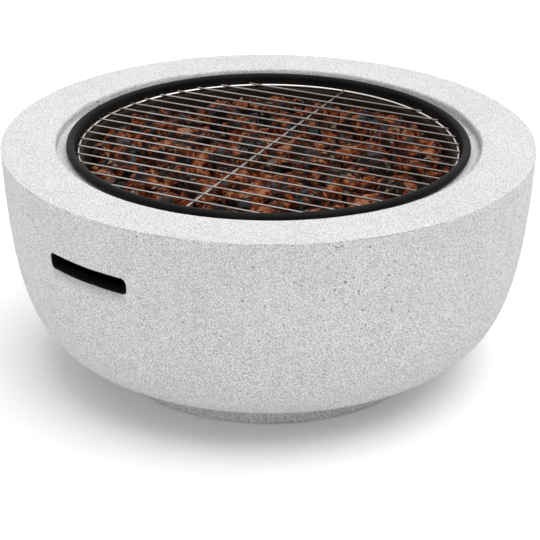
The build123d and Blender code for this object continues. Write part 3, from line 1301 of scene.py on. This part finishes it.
@dataclass
class FireBowl:
    """Pressed bowl with a rolled rim, a seat for the grate and air holes in its floor."""

    enamel: Material
    steps: int = 240
    sheet: float = 1.5 * MM
    mouth_radius: float = 247 * MM
    depth: float = 120 * MM
    curl_diameter: float = 11 * MM
    curl_end: float = -150.0
    curl_steps: int = 30
    seat_depth: float = 16.2 * MM
    seat_width: float = 10.5 * MM
    seat_bend: float = 3 * MM
    bend_steps: int = 8
    wall_steps: int = 8
    floor_radius: float = 212 * MM
    floor_bend: float = 45 * MM
    floor_steps: int = 16
    hole_count: int = 6
    hole_radius: float = 5 * MM
    hole_circle: float = 70 * MM
    hole_sides: int = 32
    drill_length: float = 12 * MM

    def rounded(self, corners: Sequence[Point2], bends: Sequence[float]) -> list[Point2]:
        """A line through corners with its corners rounded.

        Args:
            corners: the points of the sharp line.
            bends: radius of each inner corner.

        Returns:
            The points of the rounded line.
        """
        points = [corners[0]]
        for before, corner, after, bend in zip(corners, corners[1:], corners[2:], bends):
            middle = Vector(corner)
            back = (Vector(before) - middle).normalized()
            on = (Vector(after) - middle).normalized()
            half = back.angle(on) / 2
            reach = bend / math.tan(half)
            centre = middle + (back + on).normalized() * (bend / math.sin(half))
            start, end = middle + back * reach - centre, middle + on * reach - centre
            for step in range(self.bend_steps + 1):
                spoke = start.slerp(end, step / self.bend_steps).normalized() * bend
                points.append(tuple(centre + spoke))
        points.append(corners[-1])
        return points

    def section(self) -> list[Point2]:
        """Middle line of the sheet, from the middle of the floor to the end of the curl.

        Returns:
            The points, as radius and height.
        """
        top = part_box("fire_bowl")[1].z
        half = self.sheet / 2
        curl_radius = self.curl_diameter / 2
        curl_z = top - curl_radius
        seat = top - self.seat_depth
        floor = top - self.depth
        corners = [
            (0.0, floor - half),
            (self.floor_radius + half, floor - half),
            (self.mouth_radius - self.seat_width + half, seat - half),
            (self.mouth_radius + half, seat - half),
            (self.mouth_radius + half, curl_z),
        ]
        bends = [self.floor_bend + half, self.seat_bend + half, self.seat_bend + half]
        wall = self.rounded(corners, bends)
        bent = self.bend_steps + 1
        flat = line(wall[0], wall[1], self.floor_steps)
        lean = line(wall[bent], wall[bent + 1], self.wall_steps)
        middle = (self.mouth_radius + curl_radius, curl_z)
        curl = arc(middle, curl_radius - half, 180, self.curl_end, self.curl_steps)
        return flat + wall[2:bent] + lean + wall[bent + 2 : -1] + curl

    def drills(self) -> Piece:
        """Pins of the size of the air holes, in their circle on the floor.

        Returns:
            The pins as one object.
        """
        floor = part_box("fire_bowl")[0].z
        sizes = {"vertices": self.hole_sides, "radius": self.hole_radius, "depth": self.drill_length}
        first = primitive(bpy.ops.mesh.primitive_cylinder_add, **sizes)
        pins = [settle(first, Matrix.Translation((self.hole_circle, 0, floor)))]
        for number in range(1, self.hole_count):
            turn = Matrix.Rotation(TURN * number / self.hole_count, 4, "Z")
            pins.append(settle(copy_of(first), turn))
        return join(pins)

    def build(self) -> Piece:
        """Turn the bowl, give the sheet its thickness and drill the floor.

        Returns:
            The finished bowl.
        """
        bowl = lathe(self.section(), self.steps, closed=False)
        apply_modifier(bowl, "SOLIDIFY", thickness=self.sheet, offset=0.0)
        drills = self.drills()
        apply_modifier(bowl, "BOOLEAN", object=drills, operation="DIFFERENCE", solver="EXACT")
        discard(drills)
        dress(bowl, self.enamel)
        return hand_over(bowl, "bowl", Body.BOWL, ["fire_bowl"])


# Wire grates


@dataclass
class WireGrate:
    """Welded grate: a ring, parallel bars on top of it and cross wires under the bars."""

    prefix: str
    solids: Sequence[str]
    body: Body
    slot: Slot
    wire: Material
    hoop: Material
    bar_angle: float
    sides: int = 20
    ring_steps: int = 240
    tip_round: float = 0.5
    tip_steps: int = 4
    tip_facing: float = 0.9
    wire_crease: float = 60.0
    ring_crease: float = 80.0
    bead_shape: Place = (0.88, 0.60, 0.29)
    bead_waist: float = 0.3
    bead_detail: int = 2
    bead_sink: float = 0.1
    seam_length: float = 9 * MM
    seam_swell: float = 1.09

    def __post_init__(self) -> None:
        """Read the ring off its solid and start the stock of wire patterns, by diameter."""
        self.ring_node = f"{self.prefix}_ring"
        low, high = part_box(self.ring_node)
        self.ring_wire = high.z - low.z
        self.ring_radius = (high.x - low.x - self.ring_wire) / 2
        self.ring_middle, self.ring_top = (low.z + high.z) / 2, high.z
        self.along = Vector((math.cos(self.bar_angle), math.sin(self.bar_angle), 0))
        self.patterns: dict[float, Piece] = {}

    def nodes(self, kind: str) -> list[str]:
        """Names of the solids of one kind of wire, in order."""
        start = f"{self.prefix}_{kind}"
        return sorted(name for name in self.solids if name.startswith(start))

    def finished(self, piece: Piece, label: str, stands_for: Sequence[str] = ()) -> Piece:
        """Hand over a piece of the grate under a label."""
        return hand_over(piece, f"{self.prefix}_{label}", self.body, stands_for)

    def wire_pattern(self, diameter: float) -> Piece:
        """A short upright wire with rounded tips, twice as long as it is thick.

        Args:
            diameter: thickness of the wire.

        Returns:
            The wire, at the origin.
        """
        sizes = {"vertices": self.sides, "radius": diameter / 2, "depth": 2 * diameter}
        wire = primitive(bpy.ops.mesh.primitive_cylinder_add, **sizes)
        with editing(wire):
            bpy.ops.mesh.select_mode(type="FACE")
            bpy.ops.mesh.select_all(action="DESELECT")
            grid = bmesh.from_edit_mesh(wire.data)
            for face in grid.faces:
                face.select = abs(face.normal.z) > self.tip_facing
            bmesh.update_edit_mesh(wire.data)
            tip = self.tip_round * diameter / 2
            bpy.ops.mesh.bevel(offset=tip, segments=self.tip_steps, affect="EDGES")
        return dress(wire, self.wire, self.wire_crease)

    def straight(self, start: Vector, end: Vector, diameter: float) -> Piece:
        """A straight wire, copied from the pattern of its diameter and drawn out to its length.

        Args:
            start: middle of one end.
            end: middle of the other end.
            diameter: thickness of the wire.

        Returns:
            The wire.
        """
        key = round(diameter, 5)
        if key not in self.patterns:
            self.patterns[key] = self.wire_pattern(diameter)
        run = end - start
        draw = run.length / 2 - diameter
        wire = copy_of(self.patterns[key])
        with editing(wire):
            reshape(wire, lambda co: co + Vector((0, 0, math.copysign(draw, co.z))))
        turn = Vector((0, 0, 1)).rotation_difference(run.normalized()).to_matrix().to_4x4()
        return settle(wire, Matrix.Translation((start + end) / 2) @ turn)

    def ends(self, node: str, angle: float) -> Run:
        """End points and diameter of a level straight wire, read off its solid.

        Args:
            node: name of the solid.
            angle: plan angle of the wire in radians.

        Returns:
            The two end points and the diameter.
        """
        low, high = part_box(node)
        size, middle = high - low, (low + high) / 2
        diameter = size.z
        along = Vector((math.cos(angle), math.sin(angle), 0))
        main, other = (0, 1) if abs(along.x) > abs(along.y) else (1, 0)
        length = (size[main] - diameter * abs(along[other])) / abs(along[main])
        return middle - along * length / 2, middle + along * length / 2, diameter

    def swollen(self, place: Vector) -> Vector:
        """A point of the ring pushed out near the seam.

        Args:
            place: the point, with the ring at the level 0.

        Returns:
            Its new place.
        """
        spine = Vector((place.x, place.y, 0)).normalized() * self.ring_radius
        near = max(0.0, 1 - (spine - self.along * self.ring_radius).length / self.seam_length)
        return spine + (place - spine) * (1 + (self.seam_swell - 1) * near)

    def ring(self) -> Piece:
        """The ring, with the swollen seam where its ends were welded together.

        Returns:
            The finished ring.
        """
        ring = primitive(
            bpy.ops.mesh.primitive_torus_add,
            major_radius=self.ring_radius,
            minor_radius=self.ring_wire / 2,
            major_segments=self.ring_steps,
            minor_segments=self.sides,
        )
        with editing(ring):
            reshape(ring, self.swollen)
        settle(ring, Matrix.Translation((0, 0, self.ring_middle)))
        dress(ring, self.hoop, self.ring_crease)
        return self.finished(ring, "hoop", [self.ring_node])

    def runs(self, kind: str, label: str, angle: float) -> list[Run]:
        """Build all the level straight wires of one kind.

        Args:
            kind: kind of the solids, such as bar.
            label: word for the pieces' names.
            angle: plan angle of the wires in radians.

        Returns:
            End points and diameter of each wire.
        """
        found = []
        for number, node in enumerate(self.nodes(kind), start=1):
            found.append(self.ends(node, angle))
            self.finished(self.straight(*found[-1]), f"{label}_{number:02d}", [node])
        return found

    def legs(self) -> None:
        """Build the upright wires that the grate stands on, if it has any."""
        for number, node in enumerate(self.nodes("leg"), start=1):
            low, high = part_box(node)
            middle = (low + high) / 2
            ends = [Vector((middle.x, middle.y, z)) for z in (low.z, high.z)]
            leg = self.straight(*ends, high.x - low.x)
            self.finished(leg, f"foot_{number:02d}", [node])

    def bead_pattern(self, diameter: float) -> Piece:
        """A small weld bead, squeezed out between two crossing wires, at the origin.

        Args:
            diameter: thickness of the upper wire.

        Returns:
            The bead, along X and drawn in at its waist.
        """

        def drawn_in(place: Vector) -> Vector:
            """A point of the bead moved inwards near the waist."""
            return Vector((place.x, place.y * (1 - self.bead_waist * (1 - abs(place.x))), place.z))

        bead = primitive(bpy.ops.mesh.primitive_ico_sphere_add, subdivisions=self.bead_detail, radius=1)
        with editing(bead):
            reshape(bead, drawn_in)
        settle(bead, Matrix.Diagonal((*(diameter * share for share in self.bead_shape), 1)))
        return dress(bead, self.wire, self.ring_crease)

    def welds(self, bars: Sequence[Run], crosses: Sequence[Run]) -> Piece:
        """Weld beads where the bars lie on the ring and on the cross wires.

        Args:
            bars: end points and diameter of each bar.
            crosses: end points and diameter of each cross wire.

        Returns:
            All the beads as one piece.
        """
        side = Vector((-self.along.y, self.along.x, 0))
        offsets = [((start + end) / 2).dot(self.along) for start, end, _ in crosses]
        pattern = self.bead_pattern(bars[0][2])
        turn = Matrix.Rotation(self.bar_angle, 4, "Z")
        beads = []
        for start, end, diameter in bars:
            shift = ((start + end) / 2).dot(side)
            reach = math.sqrt(self.ring_radius**2 - shift**2)
            for run in (-reach, reach, *offsets):
                place = self.along * run + side * shift
                place.z = self.ring_top - self.bead_sink * diameter
                beads.append(settle(copy_of(pattern), Matrix.Translation(place) @ turn))
        discard(pattern)
        return self.finished(join(beads), "welds")

    def build(self) -> None:
        """Build all the wires and welds of the grate."""
        self.ring()
        bars = self.runs("bar", "rod", self.bar_angle)
        crosses = self.runs("cross", "brace", self.bar_angle + math.pi / 2)
        self.welds(bars, crosses)
        self.legs()
        for pattern in self.patterns.values():
            discard(pattern)


# Charcoal


@dataclass
class CharcoalBed:
    """Layer of broken lumps in rows on the charcoal grate, with chips between them."""

    embers: Material
    rows: int = 4
    row_growth: int = 6
    pitch: float = 63.65 * MM
    room: float = 61.5 * MM
    break_depth: Point2 = (0.36, 0.5)
    break_merge: float = 0.02
    lump_patterns: int = 8
    lump_breaks: int = 10
    lump_edge: float = 0.035
    lump_edge_steps: int = 2
    lump_cuts: int = 2
    lump_roughness: tuple[Point2, ...] = ((0.45, 0.10), (0.12, 0.05))
    lump_height: float = 44 * MM
    lump_wide: Point2 = (0.92, 1.0)
    lump_deep: Point2 = (0.78, 1.0)
    lump_tall: Point2 = (0.85, 1.02)
    lump_tilt: float = 0.25
    lump_crease: float = 45.0
    chip_patterns: int = 8
    chip_breaks: int = 8
    chip_count: int = 230
    chip_sizes: Point2 = (14 * MM, 34 * MM)
    chip_deep: Point2 = (0.6, 0.9)
    chip_tall: Point2 = (0.5, 0.8)
    chip_tilt: float = 0.8
    chip_drop: Point2 = (0 * MM, 18 * MM)
    edge_chip_count: int = 150
    edge_chip_drop: Point2 = (0 * MM, 9 * MM)
    wall_radius: float = 224 * MM
    wall_lean: float = 0.236
    seed: int = 11

    def __post_init__(self) -> None:
        """Read the levels off the solids, start the random draws and make the patterns."""
        low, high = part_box("charcoal_row_01")
        self.floor = low.z
        self.ceiling = high.z
        self.draw = random.Random(self.seed)
        self.lumps = [self.lump() for _ in range(self.lump_patterns)]
        self.chips = [self.broken(self.chip_breaks) for _ in range(self.chip_patterns)]

    def spread(self, limits: Point2) -> float:
        """A random value between two limits."""
        return self.draw.uniform(*limits)

    def broken(self, breaks: int) -> Piece:
        """A block of about unit size with flat broken faces.

        Args:
            breaks: number of broken faces.

        Returns:
            The block, centred on the origin.
        """
        block = primitive(bpy.ops.mesh.primitive_cube_add, size=1)
        with editing(block):
            for _ in range(breaks):
                way = Vector([self.draw.gauss(0, 1) for _ in range(3)]).normalized()
                place = way * self.spread(self.break_depth)
                bpy.ops.mesh.select_all(action="SELECT")
                bpy.ops.mesh.bisect(plane_co=place, plane_no=way, use_fill=True, clear_outer=True)
            bpy.ops.mesh.select_all(action="SELECT")
            bpy.ops.mesh.remove_doubles(threshold=self.break_merge)
        return block

    def lump(self) -> Piece:
        """A broken lump with worn edges and a rough surface, as a pattern for copies.

        Returns:
            The lump, centred on the origin.
        """
        lump = self.broken(self.lump_breaks)
        with editing(lump):
            bpy.ops.mesh.bevel(offset=self.lump_edge, segments=self.lump_edge_steps, affect="EDGES")
            bpy.ops.mesh.select_all(action="SELECT")
            bpy.ops.mesh.quads_convert_to_tris()
            bpy.ops.mesh.subdivide(number_cuts=self.lump_cuts)
        for size, depth in self.lump_roughness:
            roughen(lump, size, depth)
        return lump

    def put(self, patterns: Sequence[Piece], place: Vector, sizes: Place, tilt: float) -> Piece:
        """Copy a random pattern to a place.

        Args:
            patterns: the patterns to choose from.
            place: middle of the copy.
            sizes: its size along each axis before it is turned.
            tilt: most that it leans, in radians.

        Returns:
            The copy.
        """
        piece = copy_of(self.draw.choice(patterns))
        lean = Euler([self.spread(limits) for limits in ((-tilt, tilt), (-tilt, tilt), (0, TURN))])
        shape = Matrix.Diagonal((*sizes, 1))
        return settle(piece, Matrix.Translation(place) @ lean.to_matrix().to_4x4() @ shape)

    def rest_on(self, piece: Piece, low: float, high: float) -> Piece:
        """Move a piece up or down to stand on a level, and flatten what passes a higher one.

        Args:
            piece: the object to move.
            low: level that it stands on.
            high: level that it stays under.

        Returns:
            The same object.
        """
        heights = [vertex.co.z for vertex in piece.data.vertices]
        settle(piece, Matrix.Translation((0, 0, low - min(heights))))
        with editing(piece):
            reshape(piece, lambda co: Vector((co.x, co.y, min(co.z, high))))
        return piece

    def tuck(self, piece: Piece, spoke: Vector, high: float) -> Piece:
        """Lower a piece under a level and draw it in along its spoke until it clears the wall.

        Args:
            piece: the object to move.
            spoke: direction from the axis to it.
            high: level that its top comes to.

        Returns:
            The same object.
        """
        corners = [vertex.co for vertex in piece.data.vertices]
        drop = max(corner.z for corner in corners) - high
        excess = 0.0
        for corner in corners:
            wall = self.wall_radius + self.wall_lean * (corner.z - drop - self.floor)
            excess = max(excess, corner.xy.length - wall)
        return settle(piece, Matrix.Translation(-excess * spoke - Vector((0, 0, drop))))

    def row(self, number: int) -> Piece:
        """One row of lumps.

        Args:
            number: number of the row, from the outside.

        Returns:
            The lumps as one piece.
        """
        step = self.rows - number
        count = max(1, self.row_growth * step)
        lumps = []
        for place_number in range(count):
            angle = TURN * place_number / count
            spot = Vector((math.cos(angle), math.sin(angle), 0)) * step * self.pitch
            wide = self.room * self.spread(self.lump_wide)
            deep = wide * self.spread(self.lump_deep)
            tall = self.lump_height * self.spread(self.lump_tall)
            lump = self.put(self.lumps, spot, (wide, deep, tall), self.lump_tilt)
            lumps.append(self.rest_on(lump, self.floor, self.ceiling))
        row = dress(join(lumps), self.embers, self.lump_crease)
        node = f"charcoal_row_{number:02d}"
        return hand_over(row, f"lumps_{number:02d}", Body.CHARCOAL_GRATE, [node])

    def fill(self) -> Piece:
        """Chips scattered over and between the lumps, and more of them along the wall.

        Returns:
            The chips as one piece.
        """
        bits = []
        for number in range(self.chip_count + self.edge_chip_count):
            at_edge = number >= self.chip_count
            wide = self.spread(self.chip_sizes)
            drop = self.spread(self.edge_chip_drop if at_edge else self.chip_drop)
            share = 1.0 if at_edge else math.sqrt(self.draw.random())
            angle = self.spread((0, TURN))
            spoke = Vector((math.cos(angle), math.sin(angle), 0))
            place = spoke * self.wall_radius * share + Vector((0, 0, self.ceiling))
            sizes = (wide, wide * self.spread(self.chip_deep), wide * self.spread(self.chip_tall))
            chip = self.put(self.chips, place, sizes, self.chip_tilt)
            bits.append(self.tuck(chip, spoke, self.ceiling - drop))
        bed = join(bits)
        bed.data.materials.append(self.embers)
        return hand_over(bed, "charcoal_fill", Body.CHARCOAL_GRATE)

    def build(self) -> None:
        """Build the rows and what lies between them."""
        for number in range(1, self.rows + 1):
            self.row(number)
        self.fill()
        for pattern in (*self.lumps, *self.chips):
            discard(pattern)


# Studio


def aimed(way: Vector) -> Euler:
    """Turn of a lamp that shines along a way."""
    return way.to_track_quat("-Z", "Y").to_euler()


@dataclass(frozen=True)
class FarLamp:
    """Wide diffuser far away, which lights floor and object evenly."""

    name: str
    place: Place
    spread: float
    strength: float

    def build(self) -> None:
        """Hang the lamp."""
        lamp = bpy.data.lights.new(self.name, "SUN")
        lamp.angle = math.radians(self.spread)
        lamp.energy = self.strength
        link(self.name, lamp).rotation_euler = aimed(-Vector(self.place))


@dataclass(frozen=True)
class SoftBox:
    """Flat lamp that looks at the fire pit."""

    name: str
    place: Place
    width: float
    height: float
    power: float
    target: Place = (0.0, 0.0, 0.2)

    def build(self) -> None:
        """Hang the lamp."""
        lamp = bpy.data.lights.new(self.name, "AREA")
        lamp.shape = "RECTANGLE"
        lamp.size = self.width
        lamp.size_y = self.height
        lamp.energy = self.power
        holder = link(self.name, lamp)
        holder.location = self.place
        holder.rotation_euler = aimed(Vector(self.target) - Vector(self.place))


@dataclass(frozen=True)
class Studio:
    """White floor, soft light and the camera of the photograph."""

    azimuth: float = 309.6
    distance: float = 2.1634
    height: float = 1.1104
    pitch: float = 24.73
    yaw: float = -0.0735
    roll: float = 0.3653
    lens: float = 120.0
    sensor: float = 36.0
    sight: float = 200.0
    floor_size: float = 40.0
    floor_tone: float = 0.84
    floor_shown: float = 1.17
    sky: float = 0.50
    white: Colour = (1.0, 1.0, 1.0, 1.0)
    lamps: tuple[FarLamp | SoftBox, ...] = (
        FarLamp("overhead_lamp", (0.15, -0.2, 1.0), 70.0, 1.92),
        FarLamp("key_lamp", (0.1, -1.0, 1.1), 45.0, 0.12),
        SoftBox("front_card", (-1.25, -1.03, 0.12), 1.6, 0.24, 0.9),
        SoftBox("left_card", (-1.35, 0.95, 0.17), 1.2, 0.28, 2.2),
        SoftBox("right_card", (1.0, -1.35, 0.17), 1.2, 0.28, 0.5),
    )

    def world(self) -> None:
        """Even light from all round, white where it is seen itself."""
        world = bpy.data.worlds.new("studio")
        world.use_nodes = True
        bpy.context.scene.world = world
        made = Nodes(world.node_tree)
        strength = made.added(self.sky, (made.shown(), 1 - self.sky))
        made.feed(made.tree.nodes["Background"], {"Color": self.white, "Strength": strength})

    def floor(self) -> None:
        """Pale floor that is white where it is seen in full light and keeps the shadow."""
        floor = primitive(bpy.ops.mesh.primitive_plane_add, size=self.floor_size)
        floor.name = "floor"
        material = bpy.data.materials.new("floor")
        material.use_nodes = True
        made = Nodes(material.node_tree)
        made.tree.nodes.clear()
        tone = made.added(self.floor_tone, (made.shown(), self.floor_shown - self.floor_tone))
        matt = made.node("ShaderNodeBsdfDiffuse", {"Color": tone})
        made.node("ShaderNodeOutputMaterial", {"Surface": matt.outputs["BSDF"]})
        floor.data.materials.append(material)

    def camera(self) -> None:
        """Set up the camera at the photograph's place."""
        camera = bpy.data.cameras.new("camera")
        camera.lens = self.lens
        camera.sensor_width = self.sensor
        camera.clip_end = self.sight
        holder = link("camera", camera)
        turn = math.radians(self.azimuth)
        back = Vector((math.sin(turn), -math.cos(turn), 0)) * self.distance
        heading = Matrix.Rotation(math.radians(self.azimuth + self.yaw), 4, "Z")
        tilt = Matrix.Rotation(math.radians(90 - self.pitch), 4, "X")
        roll = Matrix.Rotation(math.radians(self.roll), 4, "Z")
        place = Matrix.Translation((back.x, back.y, self.height))
        holder.matrix_world = place @ heading @ tilt @ roll
        bpy.context.scene.camera = holder

    def build(self) -> None:
        """Set up the whole studio."""
        self.world()
        self.floor()
        for lamp in self.lamps:
            lamp.build()
        self.camera()
        bpy.context.scene.view_settings.view_transform = "Standard"


def main() -> None:
    """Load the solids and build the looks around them."""
    logging.basicConfig(level=logging.INFO, format="%(name)s %(message)s")
    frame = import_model()
    Shell(CastStone().material(), SlotShadeCoat().material(), FibrePad().material()).build()
    FireBowl(SatinEnamel().material()).build()
    solids = sorted(frame["nodes"])
    steel = HeatedSteel().material()
    lower = (Body.CHARCOAL_GRATE, Slot.STEEL, steel, steel, LOWER_BARS)
    WireGrate("charcoal", solids, *lower).build()
    # The ring takes a brighter copy of the finish, a painted highlight
    wire, hoop = ChromeWire().material(), ChromeWire.for_hoop().material()
    upper = (Body.COOKING_GRATE, Slot.CHROME, wire, hoop, UPPER_BARS)
    WireGrate("cook", solids, *upper).build()
    CharcoalBed(Embers().material()).build()
    Studio().build()
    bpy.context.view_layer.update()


if __name__ == "__main__":
    main()
